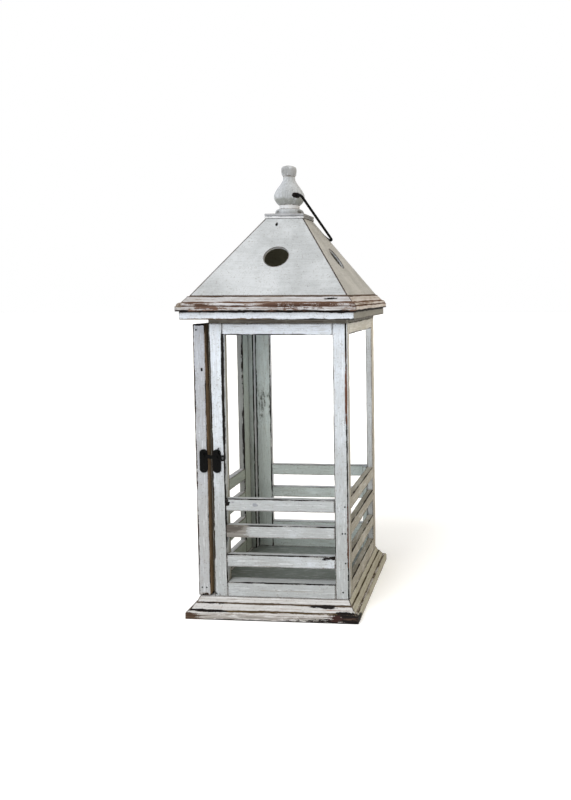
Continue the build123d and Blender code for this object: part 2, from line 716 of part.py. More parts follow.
# ---- bail: a wire loop that rests on the roof's rear right hip ----
hip_slope = math.atan2(roof_rise, roof_run * math.sqrt(2))
hip_level_over_pivot = roof_top + roof_top_half * math.sqrt(2) * math.tan(hip_slope) - pivot_height
seat_distance = bail_wire_radius + bail_seat_gap + hip_level_over_pivot * math.cos(hip_slope)
bail_drop = hip_slope - math.asin(seat_distance / bail_reach)
eye_half = bail_eye_width / 2
tip_half_angle = math.atan2(eye_half, bail_reach)
corner_reach = bail_reach + bail_tip_bend * (1 / math.sin(tip_half_angle) - 1)
wire_end = hole_foot + bail_end_gap
leg_direction = Vector(
    bulge * math.cos(bail_drop),
    bulge * math.cos(bail_drop),
    -math.sin(bail_drop),
)
bail_plane = Plane(
    origin=(0, 0, pivot_height),
    x_dir=tuple(bail_axis),
    z_dir=tuple(bail_axis.cross(leg_direction)),
)
bail_path = bail_plane * FilletPolyline(
    (wire_end, 0),
    (eye_half, 0),
    (0, corner_reach),
    (-eye_half, 0),
    (-wire_end, 0),
    radius=[bail_eye_bend, bail_tip_bend, bail_eye_bend],
)
wire_section = Plane(origin=bail_path @ 0, z_dir=bail_path % 0) * Circle(bail_wire_radius)
save(sweep(wire_section, path=bail_path), "bail_handle")
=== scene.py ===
"""Candle lantern in worn white paint: finishes, hand-worn boards, studio light and camera."""

import logging
import math
from dataclasses import dataclass, field, replace
from enum import Enum

import bmesh
import bpy
from mathutils import Matrix, Vector, noise


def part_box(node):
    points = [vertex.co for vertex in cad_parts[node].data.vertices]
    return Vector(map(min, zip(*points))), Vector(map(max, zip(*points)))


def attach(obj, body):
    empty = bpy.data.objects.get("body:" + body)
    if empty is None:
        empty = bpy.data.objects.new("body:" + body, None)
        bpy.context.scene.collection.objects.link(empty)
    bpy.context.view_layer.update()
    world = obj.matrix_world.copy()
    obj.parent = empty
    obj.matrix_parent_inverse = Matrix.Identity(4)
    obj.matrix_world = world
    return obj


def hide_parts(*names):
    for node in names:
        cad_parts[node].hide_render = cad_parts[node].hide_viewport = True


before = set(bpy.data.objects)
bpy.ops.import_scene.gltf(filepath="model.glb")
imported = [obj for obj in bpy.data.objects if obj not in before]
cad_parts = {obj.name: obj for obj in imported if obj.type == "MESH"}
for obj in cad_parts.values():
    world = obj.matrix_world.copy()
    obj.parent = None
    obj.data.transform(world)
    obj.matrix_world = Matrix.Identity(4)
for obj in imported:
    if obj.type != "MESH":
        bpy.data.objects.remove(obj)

log = logging.getLogger("lantern")
Colour = tuple[float, float, float]
Point = tuple[float, float, float]
Socket = bpy.types.NodeSocket
MM = 0.001
WANDER_SEED = 7  # Blender's own noise offsets change from run to run without it
SHARP_ANGLE = math.radians(45)
POST_MIDDLE = 224.0  # height of the middle of the posts, in millimetres
POST_RUN = 520.0  # reach of a mark that runs the whole way along a post
RAIL_RUN = 500.0  # the same for a rail
LOW_PAINT_TOP = 410.0  # height where the paint stops darkening towards the floor, in millimetres
LOW_PAINT_FADE = 280.0  # height over which it darkens downwards
SIDES = ("front", "right", "back", "left")
INK = (0.005, 0.0035, 0.003)
EARTH = (0.085, 0.055, 0.035)
RUST = (0.13, 0.055, 0.035)
STAIN = (0.22, 0.17, 0.14)
HALO = (0.34, 0.28, 0.23)


class Grain(Enum):
    """Direction in which the wood's fibres run, as an axis number."""

    ACROSS = 0
    DEEP = 1
    UPRIGHT = 2


class Graph:
    """A material's node tree, with short calls for the nodes that the finishes share."""

    def __init__(self, name: str) -> None:
        """Starts a material with nothing but its output.

        Args:
            name: Name of the material.
        """
        self.material = bpy.data.materials.new(name)
        self.material.use_nodes = True
        self.tree = self.material.node_tree
        self.tree.nodes.clear()
        self.output = self.tree.nodes.new("ShaderNodeOutputMaterial")

    def add(self, kind: str, **settings: object) -> bpy.types.Node:
        """Adds a node.

        Args:
            kind: Node type without its "ShaderNode" prefix.
            **settings: Properties to set on the node.

        Returns:
            The new node.
        """
        node = self.tree.nodes.new("ShaderNode" + kind)
        for key, value in settings.items():
            setattr(node, key, value)
        return node

    def put(self, socket: Socket, value: object) -> None:
        """Links a socket to another, or sets its value.

        Args:
            socket: Input socket.
            value: An output socket, a number, a colour or a vector.
        """
        if isinstance(value, Socket):
            self.tree.links.new(value, socket)
        elif isinstance(value, (tuple, list)) and socket.type == "RGBA":
            socket.default_value = (*value[:3], 1.0)
        else:
            socket.default_value = value

    def math(self, operation: str, *values: object, clamp: bool = False) -> Socket:
        """Adds a Math node.

        Args:
            operation: Name of the operation.
            *values: Its inputs.
            clamp: Whether the result is kept between 0 and 1.

        Returns:
            The result.
        """
        node = self.add("Math", operation=operation, use_clamp=clamp)
        for socket, value in zip(node.inputs, values):
            self.put(socket, value)
        return node.outputs[0]

    def vector(self, operation: str, *values: object) -> bpy.types.Node:
        """Adds a Vector Math node.

        Args:
            operation: Name of the operation.
            *values: Its vector inputs.

        Returns:
            The node, whose vector is output 0 and number is output 1.
        """
        node = self.add("VectorMath", operation=operation)
        for socket, value in zip(node.inputs, values):
            self.put(socket, value)
        return node

    def step(self, value: object, low: float, high: float) -> Socket:
        """Smooth step from 0 at one value to 1 at another.

        Args:
            value: Number to map.
            low: Where the step starts.
            high: Where the step ends.

        Returns:
            The mapped number.
        """
        node = self.add("MapRange", interpolation_type="SMOOTHSTEP")
        self.put(node.inputs["Value"], value)
        self.put(node.inputs["From Min"], low)
        self.put(node.inputs["From Max"], high)
        return node.outputs["Result"]

    def noise(
        self, place: object, scale: float, detail: float = 3.0, rough: float = 0.55
    ) -> Socket:
        """Noise between 0 and 1, about 0.5 on average.

        Args:
            place: Coordinates.
            scale: Features per millimetre.
            detail: Number of finer layers.
            rough: Share of the finer layers.

        Returns:
            The noise value.
        """
        node = self.add("TexNoise")
        self.put(node.inputs["Vector"], place)
        self.put(node.inputs["Scale"], scale)
        self.put(node.inputs["Detail"], detail)
        self.put(node.inputs["Roughness"], rough)
        return node.outputs[0]

    def mix(self, share: object, first: object, second: object) -> Socket:
        """Mixes two colours.

        Args:
            share: Share of the second colour.
            first: First colour.
            second: Second colour.

        Returns:
            The mixed colour.
        """
        node = self.add("Mix", data_type="RGBA")
        self.put(node.inputs[0], share)
        self.put(node.inputs[6], first)
        self.put(node.inputs[7], second)
        return node.outputs[2]

    def millimetres(self, offset: Vector) -> Socket:
        """Object coordinates in millimetres, moved by an offset.

        Args:
            offset: Offset in millimetres, which gives each piece its own pattern.

        Returns:
            The coordinates.
        """
        place = self.add("TexCoord").outputs["Object"]
        scaled = self.vector("SCALE", place)
        scaled.inputs["Scale"].default_value = 1 / MM
        return self.vector("ADD", scaled.outputs[0], tuple(offset)).outputs[0]

    def stretched(self, place: object, grain: Grain, share: float) -> Socket:
        """Coordinates drawn out along the grain.

        Args:
            place: Coordinates.
            grain: Grain direction.
            share: Scale along the grain, against 1 across it.

        Returns:
            The stretched coordinates.
        """
        scale = [1.0, 1.0, 1.0]
        scale[grain.value] = share
        return self.vector("MULTIPLY", place, tuple(scale)).outputs[0]

    def facing(self, way: Point) -> Socket:
        """How far a face looks a given way, from -1 to 1."""
        normal = self.add("NewGeometry").outputs["Normal"]
        return self.vector("DOT_PRODUCT", normal, way).outputs[1]

    def arris(self, radius: float) -> Socket:
        """How near a point is to a sharp edge of its own piece.

        Args:
            radius: Reach of the edge, in millimetres.

        Returns:
            0 on flat faces, about 1 on a right-angled edge.
        """
        bevel = self.add("Bevel", samples=6)
        bevel.inputs["Radius"].default_value = radius * MM
        true = self.add("NewGeometry").outputs["Normal"]
        facing = self.vector("DOT_PRODUCT", bevel.outputs[0], true).outputs[1]
        apart = self.math("MULTIPLY", self.math("SUBTRACT", 1.0, facing), 3.4, clamp=True)
        return self.math("SQRT", apart)

    def shade(
        self, colour: object, roughness: object, height: object, depth: float, **values: object
    ) -> bpy.types.Material:
        """Joins the surface's values to the output.

        Args:
            colour: Base colour.
            roughness: Roughness.
            height: Relief, or None for a smooth surface.
            depth: Relief at a height of 1, in millimetres.
            **values: Other inputs of the Principled shader, by name, with _ for spaces.

        Returns:
            The finished material.
        """
        shader = self.add("BsdfPrincipled")
        self.put(shader.inputs["Base Color"], colour)
        self.put(shader.inputs["Roughness"], roughness)
        for key, value in values.items():
            self.put(shader.inputs[key.replace("_", " ")], value)
        if height is not None:
            bump = self.add("Bump")
            bump.inputs["Distance"].default_value = depth * MM
            self.put(bump.inputs["Height"], height)
            self.put(shader.inputs["Normal"], bump.outputs[0])
        self.put(self.output.inputs[0], shader.outputs[0])
        return self.material


def own_offset(name: str) -> Vector:
    """Offset in millimetres that gives a piece its own pattern."""
    seed = sum(ord(letter) * (rank + 3) for rank, letter in enumerate(name))
    return Vector((seed % 97, seed % 61, seed % 83)) * 13.0


@dataclass(frozen=True)
class SurfaceMark:
    """A place where the paint is rubbed, chipped or stained, or where painted shade is laid on.

    Attributes:
        centre: Middle of the place, in millimetres.
        reach: How far it reaches each way, in millimetres.
        strength: 1 for a bare middle, less for scattered chips.
        colour: What shows there, or None for bare wood.
        cover: How much it hides the paint.
    """

    centre: Point
    reach: Point
    strength: float
    colour: Colour | None = None
    cover: float = 1.0

    def mark(
        self, g: Graph, plain: Socket, layers: tuple[Socket, Socket, Socket]
    ) -> tuple[Socket, Socket, Socket]:
        """Draws the place with a broken edge.

        Args:
            g: Material to add to.
            plain: Coordinates in the shared frame, in millimetres.
            layers: Noise values for the edge, coarse to fine.

        Returns:
            A number that falls outwards, the share inside the reach and the share of the mark.
        """
        breakup, mottle, speck = layers
        apart = g.vector("SUBTRACT", plain, self.centre).outputs[0]
        apart = g.vector("DIVIDE", apart, self.reach).outputs[0]
        near = g.math("SUBTRACT", 1.0, g.vector("LENGTH", apart).outputs[1])
        rough = g.math("MULTIPLY_ADD", breakup, 3.0, -1.5)
        rough = g.math("MULTIPLY_ADD", g.math("SUBTRACT", mottle, 0.5), 1.2, rough)
        rough = g.math("MULTIPLY_ADD", g.math("SUBTRACT", speck, 0.5), 0.9, rough)
        broken = g.math("MULTIPLY_ADD", near, self.strength, rough)
        inside = g.step(near, 0.0, 0.12)
        soft = 0.12 if self.cover == 1.0 else 0.5
        return broken, inside, g.math("MULTIPLY", g.step(broken, 0.22, 0.22 + soft), inside)


@dataclass(frozen=True)
class Seam:
    """A dark line that runs round the lantern at one height, mostly dirt in a crease, and painted
    shadow under the eave moulding.

    Attributes:
        level: Height above the floor, in millimetres.
        width: Half its width, in millimetres.
        strength: 1 for a nearly unbroken line, less for a broken one.
        colour: Colour of the line.
    """

    level: float
    width: float
    strength: float
    colour: Colour

    def marks(self, g: Graph, broken: Socket, height_mm: Socket) -> list[tuple[Socket, Colour]]:
        """Draws the line and the faint stain beside it.

        Args:
            g: Material to add to.
            broken: Coordinates drawn out along the grain.
            height_mm: Height above the floor, in millimetres.

        Returns:
            The share and the colour of the stain and of the line.
        """
        drift = g.math("MULTIPLY_ADD", g.noise(broken, 0.1, 3.0, 0.6), 1.6, self.level - 0.8)
        away = g.math("ABSOLUTE", g.math("SUBTRACT", height_mm, drift))
        moved = g.vector("ADD", broken, (self.level, 7.0, 3.0)).outputs[0]
        reach = g.math("MULTIPLY_ADD", g.noise(moved, 0.2, 5.0, 0.75), 6.0, self.strength - 3.0)
        inside = g.math("SUBTRACT", g.math("MULTIPLY", reach, self.width), away)
        stain = g.math("MULTIPLY", g.step(inside, -0.9, 0.2), 0.4)
        return [(stain, STAIN), (g.step(inside, -0.1, 0.25), self.colour)]


@dataclass(frozen=True)
class WornPaint:
    """Chalky paint over dark wood, rubbed through along the arrises.

    Attributes:
        light: Paint where it is clean.
        dull: Paint where it is thin or dusty.
        low_paint: Paint colour that the faces darken into towards the floor.
        wood_dark: Darkest bare wood.
        wood_warm: Lightest bare wood.
        edge_reach: Width of the worn arris, in millimetres.
        edge_wear: How much of each arris is worn, about 1 on average.
        chips: How many small chips the faces have, about 1 on average.
        streaks: How many dark lines run along the grain, about 1 on average.
        clouds: Strength of the broad grey clouding.
        fibres: Strength of the fine grey fibres.
        hair: Strength of the fine lines along the grain.
        rough: Roughness of the paint.
        relief: Height of its relief, in millimetres.
        gloss: Strength of the reflections.
        outer_way: Way that the outer face looks, on a piece whose inner face is tinted.
        inner_bare_and_shade_tint: Colour of the inner face over that of the outer face: bare wood
            on some pieces, painted shade and painted light on others.
        right_face_shading: Painted shade and light: colour of faces that look right over that of
            the others.
    """

    light: Colour = (0.652, 0.706, 0.783)
    dull: Colour = (0.445, 0.465, 0.485)
    low_paint: Colour = (0.342, 0.358, 0.363)
    wood_dark: Colour = (0.009, 0.007, 0.006)
    wood_warm: Colour = (0.075, 0.043, 0.028)
    edge_reach: float = 3.0
    edge_wear: float = 1.2
    chips: float = 1.0
    streaks: float = 1.0
    clouds: float = 0.5
    fibres: float = 0.34
    hair: float = 1.0
    rough: float = 0.66
    relief: float = 0.45
    gloss: float = 0.12
    outer_way: Point | None = None
    inner_bare_and_shade_tint: Colour = (0.11, 0.1, 0.065)
    right_face_shading: Colour | None = None

    def material(
        self, name: str, grain: Grain, surface_marks: tuple[SurfaceMark, ...] = (), seams: tuple[Seam, ...] = ()
    ) -> bpy.types.Material:
        """Makes the finish for one piece.

        Args:
            name: Name of the piece.
            grain: Its grain direction.
            surface_marks: Places that are rubbed or stained, and places of painted shade.
            seams: Dark lines at set heights.

        Returns:
            The material.
        """
        g = Graph("paint_" + name)
        plain = g.millimetres(Vector((0, 0, 0)))
        place = g.millimetres(own_offset(name))
        split = g.add("SeparateXYZ")
        g.put(split.inputs[0], plain)
        height_mm = split.outputs[2]
        broken = g.stretched(place, grain, 0.16)
        cloud = g.noise(place, 0.014, 4.0, 0.62)
        mottle = g.noise(place, 0.11, 4.0, 0.6)
        fibre = g.noise(g.stretched(place, grain, 0.035), 0.42, 5.0, 0.6)
        speck = g.noise(place, 0.9, 3.0, 0.6)
        breakup = g.noise(broken, 0.13, 5.0, 0.7)

        paint = self.coat(g, place, grain, height_mm, (cloud, mottle, fibre, speck))
        bare, halo = self.wear(g, place, grain, breakup, cloud)
        wood = g.mix(g.step(fibre, 0.42, 0.75), self.wood_dark, self.wood_warm)
        wood = g.mix(g.math("MULTIPLY", g.step(mottle, 0.52, 0.7), 0.35), wood, RUST)
        marks = []
        for seam in seams:
            marks += seam.marks(g, broken, height_mm)
        for spot in surface_marks:
            edge, inside, mark = spot.mark(g, plain, (breakup, mottle, speck))
            if spot.colour is None:
                bare = g.math("MAXIMUM", bare, mark)
                faint = g.math("MULTIPLY", g.step(edge, -0.2, 0.34), inside)
                halo = g.math("MAXIMUM", halo, faint)
            else:
                marks.append((g.math("MULTIPLY", mark, spot.cover), spot.colour))
        stained = g.mix(g.math("MULTIPLY", halo, 0.5), paint, HALO)
        colour = g.mix(bare, stained, wood)
        for mark, tint in marks:
            pale = tuple(part * (1.7 - part) + 0.004 for part in tint)
            colour = g.mix(mark, colour, g.mix(g.step(fibre, 0.4, 0.7), tint, pale))
        colour = self.tinted(g, colour)
        rough = g.math("MULTIPLY_ADD", bare, 0.12, g.math("MULTIPLY_ADD", speck, 0.12, self.rough))
        height = g.math("MULTIPLY_ADD", bare, -0.55, g.math("MULTIPLY", fibre, 0.5))
        height = g.math("MULTIPLY_ADD", speck, 0.12, height)
        return g.shade(colour, rough, height, self.relief, Specular_IOR_Level=self.gloss)

    def coat(
        self, g: Graph, place: Socket, grain: Grain, height_mm: Socket,
        layers: tuple[Socket, Socket, Socket, Socket],
    ) -> Socket:
        """Paint as it looks where it still covers the wood.

        Args:
            g: Material to add to.
            place: The piece's own coordinates.
            grain: Its grain direction.
            height_mm: Height above the floor, in millimetres.
            layers: Noise values for the clouding, the mottling, the fibres and the specks.

        Returns:
            The colour.
        """
        cloud, mottle, fibre, speck = layers
        dull_share = g.math("MULTIPLY", g.step(cloud, 0.4, 0.68), self.clouds)
        dull_share = g.math("MULTIPLY_ADD", g.step(mottle, 0.42, 0.75), 0.24, dull_share)
        dull_share = g.math("MULTIPLY_ADD", g.step(fibre, 0.46, 0.76), self.fibres, dull_share)
        dull_share = g.math("MULTIPLY_ADD", g.step(speck, 0.55, 0.8), 0.3, dull_share)
        dull_share = g.math("ADD", dull_share, 0.0, clamp=True)
        paint = g.mix(dull_share, self.light, self.dull)
        # The paint darkens towards the floor, fading out higher up.
        low = g.math("MULTIPLY_ADD", height_mm, -1 / LOW_PAINT_FADE, LOW_PAINT_TOP / LOW_PAINT_FADE, clamp=True)
        low = g.math("MULTIPLY", low, g.step(cloud, 0.05, 0.55))
        paint = g.mix(low, paint, self.low_paint)
        hair = g.noise(g.stretched(place, grain, 0.07), 0.62, 3.0, 0.6)
        lines = g.math("MULTIPLY", g.step(hair, 0.55, 0.66), 0.34 * self.hair)
        paint = g.mix(lines, paint, (0.27, 0.255, 0.235))
        brushed = g.math("MULTIPLY", g.step(hair, 0.45, 0.34), 0.3 * self.hair)
        paint = g.mix(brushed, paint, (0.8, 0.82, 0.85))
        grit = g.math("MULTIPLY", g.step(g.noise(place, 0.5, 3.0, 0.65), 0.585, 0.66), 0.65)
        return g.mix(grit, paint, (0.2, 0.185, 0.165))

    def wear(
        self, g: Graph, place: Socket, grain: Grain, breakup: Socket, cloud: Socket
    ) -> tuple[Socket, Socket]:
        """Where the paint has gone from the arrises, in chips and in lines along the grain.

        Args:
            g: Material to add to.
            place: The piece's own coordinates.
            grain: Its grain direction.
            breakup: Noise that breaks up the edge of the bare places.
            cloud: Noise that gathers the chips.

        Returns:
            The bare share and the share that is thin beside it.
        """
        edge_field = g.math("MULTIPLY_ADD", breakup, 2.6 * self.edge_wear, -0.5)
        edge_field = g.math("MULTIPLY", g.arris(self.edge_reach), edge_field)
        chip_field = g.math("MULTIPLY", g.noise(place, 0.21, 5.0, 0.7), g.step(cloud, 0.3, 0.62))
        chip = g.step(chip_field, 0.71 - 0.025 * self.chips, 0.73 - 0.025 * self.chips)
        streak_field = g.noise(g.stretched(place, grain, 0.02), 0.33, 3.0, 0.7)
        streak = g.step(streak_field, 0.765 - 0.03 * self.streaks, 0.785 - 0.03 * self.streaks)
        scattered = g.math("MAXIMUM", chip, streak)
        bare = g.math("MAXIMUM", g.step(edge_field, 0.36, 0.46), scattered)
        return bare, g.step(edge_field, 0.12, 0.46)

    def tinted(self, g: Graph, colour: Socket) -> Socket:
        """The colour with painted shade and light on its inner and right-hand faces, and bare wood
        on some inner faces.

        Args:
            g: Material to add to.
            colour: Colour of the outer face.

        Returns:
            The tinted colour.
        """
        # Inner faces are tinted: painted shade on the door's boards and the back and rear frames,
        # painted light on the right frame, bare wood under the eave board and on the door's front
        # stile, and bare wood with painted shade inside the roof.
        if self.outer_way is not None:
            inner = g.vector("MULTIPLY", colour, self.inner_bare_and_shade_tint).outputs[0]
            colour = g.mix(g.step(g.facing(self.outer_way), -0.6, -0.85), colour, inner)
        # Painted shade and light: faces that look right take their own colour, darker on most
        # pieces and lighter on the eave mouldings.
        if self.right_face_shading is not None:
            side = g.vector("MULTIPLY", colour, self.right_face_shading).outputs[0]
            colour = g.mix(g.step(g.facing((1.0, 0.0, 0.0)), 0.35, 0.6), colour, side)
        return colour


@dataclass(frozen=True)
class RawWood:
    """Unpainted, dusty wood.

    Attributes:
        dark: Colour of the summer rings.
        light: Colour between them.
        dust: Strength of the grey dust.
    """

    dark: Colour = (0.045, 0.028, 0.02)
    light: Colour = (0.12, 0.075, 0.05)
    dust: float = 0.25

    def material(self, name: str, grain: Grain) -> bpy.types.Material:
        """Makes the finish for one piece.

        Args:
            name: Name of the piece.
            grain: Its grain direction.

        Returns:
            The material.
        """
        g = Graph("wood_" + name)
        place = g.millimetres(Vector((17, 5, 29)))
        fibre = g.noise(g.stretched(place, grain, 0.04), 0.5, 6.0, 0.6)
        ring = g.noise(g.stretched(place, grain, 0.02), 0.12, 3.0, 0.5)
        mottle = g.noise(place, 0.08, 4.0, 0.6)
        both = g.math("MULTIPLY_ADD", fibre, 0.6, g.math("MULTIPLY", ring, 0.4))
        wood = g.mix(g.step(both, 0.36, 0.66), self.dark, self.light)
        dusty = g.math("MULTIPLY", g.step(mottle, 0.45, 0.7), self.dust)
        colour = g.mix(dusty, wood, (0.3, 0.29, 0.26))
        rough = g.math("MULTIPLY_ADD", fibre, 0.15, 0.75)
        return g.shade(colour, rough, fibre, 0.35, Specular_IOR_Level=0.25)


@dataclass(frozen=True)
class DarkMetal:
    """Blackened iron or darkened steel, rubbed a little brighter on its edges.

    Attributes:
        base: Colour of the metal's black skin.
        worn: Colour where the skin is rubbed.
        rust: Colour of the rust bloom.
        metallic: How metallic the skin is.
        rough: Roughness of the skin.
        gloss: Strength of the reflections.
    """

    base: Colour = (0.012, 0.012, 0.013)
    worn: Colour = (0.09, 0.088, 0.085)
    rust: Colour = (0.055, 0.024, 0.012)
    metallic: float = 0.6
    rough: float = 0.48
    gloss: float = 0.5

    def material(self, name: str) -> bpy.types.Material:
        """Makes the finish for one piece.

        Args:
            name: Name of the piece.

        Returns:
            The material.
        """
        g = Graph("metal_" + name)
        place = g.millimetres(Vector((3, 11, 7)))
        cast = g.noise(place, 1.6, 4.0, 0.6)
        bloom = g.noise(place, 0.22, 5.0, 0.65)
        edge = g.math("MULTIPLY", g.arris(0.7), g.step(cast, 0.4, 0.65))
        colour = g.mix(g.math("MULTIPLY", g.step(bloom, 0.55, 0.72), 0.6), self.base, self.rust)
        colour = g.mix(g.math("MULTIPLY", edge, 0.55), colour, self.worn)
        rough = g.math("MULTIPLY_ADD", bloom, 0.25, self.rough - 0.1)
        return g.shade(
            colour, rough, cast, 0.12, Metallic=self.metallic, Specular_IOR_Level=self.gloss
        )


def dress(name: str, material: bpy.types.Material) -> None:
    """Gives a CAD node its finish.

    Args:
        name: Name of the node.
        material: The finish.
    """
    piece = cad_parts[name]
    piece.data.materials.clear()
    piece.data.materials.append(material)
    log.info("dressed %s", name)


def longest(name: str) -> Grain:
    """Grain direction of a node, along its longest side.

    Args:
        name: Name of the node.

    Returns:
        The direction.
    """
    low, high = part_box(name)
    size = high - low
    return Grain(max(range(3), key=lambda axis: size[axis]))


@dataclass
class WornBoard:
    """A sawn board whose arrises have gone wavy with handling.

    Attributes:
        node: CAD node that it stands for.
        body: Body that it rides on.
        slot: Name of a material slot; not used.
        paint: Finish.
        surface_marks: Places that are rubbed bare, stained or given painted shade.
        spacing: Distance between the places where the arris wanders, in millimetres.
        wander: How far the arris wanders inwards, in millimetres.
        ripple: Size of the wander's coarser waves, in millimetres.
        arris: Softening of the edges, in millimetres.
    """

    node: str
    body: str
    paint: WornPaint
    surface_marks: tuple[SurfaceMark, ...] = ()
    slot: str = "distressed_white"
    spacing: float = 9.0
    wander: float = 0.45
    ripple: float = 23.0
    arris: float = 0.75

    def mesh(self) -> bpy.types.Mesh:
        """Models the board inside its CAD box.

        Returns:
            The mesh.
        """
        low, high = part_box(self.node)
        middle, size = (low + high) / 2, high - low
        run = longest(self.node).value
        bm = bmesh.new()
        bmesh.ops.create_cube(bm, size=1.0)
        bmesh.ops.scale(bm, vec=size, verts=bm.verts)
        bmesh.ops.translate(bm, vec=middle, verts=bm.verts)
        lengthwise = [
            edge for edge in bm.edges
            if abs(edge.verts[0].co[run] - edge.verts[1].co[run]) > size[run] / 2
        ]
        cuts = max(4, round(size[run] / (self.spacing * MM)))
        bmesh.ops.subdivide_edges(bm, edges=lengthwise, cuts=cuts, use_grid_fill=True)
        for vert in bm.verts:
            sample = vert.co * 1000 / self.ripple
            drift = noise.noise_vector(sample) * 0.6 + noise.noise_vector(sample * 3.1) * 0.4
            for axis in range(3):
                if axis == run:
                    continue
                inward = 1.0 if vert.co[axis] < middle[axis] else -1.0
                vert.co[axis] += inward * min(1.0, abs(drift[axis]) * 2.0) * self.wander * MM
        sharp = [edge for edge in bm.edges if edge.calc_face_angle(0.0) > SHARP_ANGLE]
        bmesh.ops.bevel(
            bm, geom=sharp, offset=self.arris * MM, offset_type="OFFSET", segments=3,
            profile=0.5, affect="EDGES", material=-1,
        )
        bmesh.ops.recalc_face_normals(bm, faces=bm.faces)
        for face in bm.faces:
            face.smooth = True
        mesh = bpy.data.meshes.new(self.node + "_worn")
        bm.to_mesh(mesh)
        bm.free()
        return mesh

    def build(self) -> bpy.types.Object:
        """Makes the board, dresses it and puts it on its body.

        Returns:
            The board.
        """
        mesh = self.mesh()
        mesh.materials.append(self.paint.material(self.node, longest(self.node), self.surface_marks))
        board = bpy.data.objects.new(self.node + "_worn", mesh)
        bpy.context.collection.objects.link(board)
        soften = board.modifiers.new("even_light", "WEIGHTED_NORMAL")
        soften.keep_sharp = False
        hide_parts(self.node)
        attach(board, self.body)
        log.info("built %s", board.name)
        return board


@dataclass
class BoardSet:
    """Boards that share a body and a finish.

    Attributes:
        nodes: CAD nodes of the boards.
        body: Body that they ride on.
        paint: Their finish.
        surface_marks: Rubbed, stained and painted-shade places, by node.
    """

    nodes: tuple[str, ...]
    body: str = "lantern"
    paint: WornPaint = WornPaint()
    surface_marks: dict[str, tuple[SurfaceMark, ...]] = field(default_factory=dict)

    def build(self) -> None:
        """Builds every board."""
        for node in self.nodes:
            WornBoard(node, self.body, self.paint, surface_marks=self.surface_marks.get(node, ())).build()


@dataclass
class DressedSet:
    """CAD pieces that keep their shape and share a painted finish.

    Attributes:
        nodes: CAD nodes.
        paint: Their finish.
        surface_marks: Rubbed, stained and painted-shade places, by node.
        seams: Dark lines at set heights.
        outward: Rise of the painted face's direction over its outward run, or None where
            both faces are painted.
    """

    nodes: tuple[str, ...]
    paint: WornPaint
    surface_marks: dict[str, tuple[SurfaceMark, ...]] = field(default_factory=dict)
    seams: tuple[Seam, ...] = ()
    outward: float | None = None

    def build(self) -> None:
        """Dresses every piece."""
        for node in self.nodes:
            paint = self.paint
            if self.outward is not None:
                low, high = box_mm(node)
                side = Vector(((low.x + high.x) / 2, (low.y + high.y) / 2, 0)).normalized()
                facing = side + Vector((0, 0, self.outward))
                paint = replace(paint, outer_way=tuple(facing.normalized()))
            surface_marks = self.surface_marks.get(node, ())
            dress(node, paint.material(node, longest(node), surface_marks, self.seams))


def box_mm(node: str) -> tuple[Vector, Vector]:
    """Corners of a node in millimetres.

    Args:
        node: Name of the node.

    Returns:
        Lowest and highest corner.
    """
    low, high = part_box(node)
    return low / MM, high / MM


def top_arris(node: str, strength: float = 0.8) -> SurfaceMark:
    """Dark line along the top front arris of a board that runs across.

    Args:
        node: Name of the board.
        strength: How unbroken the line is.

    Returns:
        The mark.
    """
    low, high = box_mm(node)
    return SurfaceMark(((low.x + high.x) / 2, low.y, high.z), (RAIL_RUN, 2.4, 1.8), strength, INK)


def side_arrises(node: str) -> tuple[SurfaceMark, SurfaceMark]:
    """Dark lines along both right-hand arrises of a board that runs back.

    Args:
        node: Name of the board.

    Returns:
        The marks on the upper and the lower arris.
    """
    low, high = box_mm(node)
    middle = (low.y + high.y) / 2
    upper = SurfaceMark((high.x, middle, high.z), (2.4, RAIL_RUN, 1.9), 0.75, (0.015, 0.011, 0.008))
    return upper, replace(upper, centre=(high.x, middle, low.z))


def upright_arris(
    node: str, right: bool, strength: float, width: float = 1.8, colour: Colour = INK,
    middle: float = POST_MIDDLE, reach: float = POST_RUN, depth: float = 3.0,
) -> SurfaceMark:
    """Dark line along a front arris of an upright board.

    Args:
        node: Name of the board.
        right: Whether it is the right arris.
        strength: How unbroken the line is.
        width: How far it reaches over the front face, in millimetres.
        colour: Its colour.
        middle: Height of its middle, in millimetres.
        reach: How far it runs up and down from there, in millimetres.
        depth: How far it reaches over the side, in millimetres.

    Returns:
        The mark.
    """
    low, high = box_mm(node)
    return SurfaceMark((high.x if right else low.x, low.y, middle), (width, depth, reach), strength, colour)


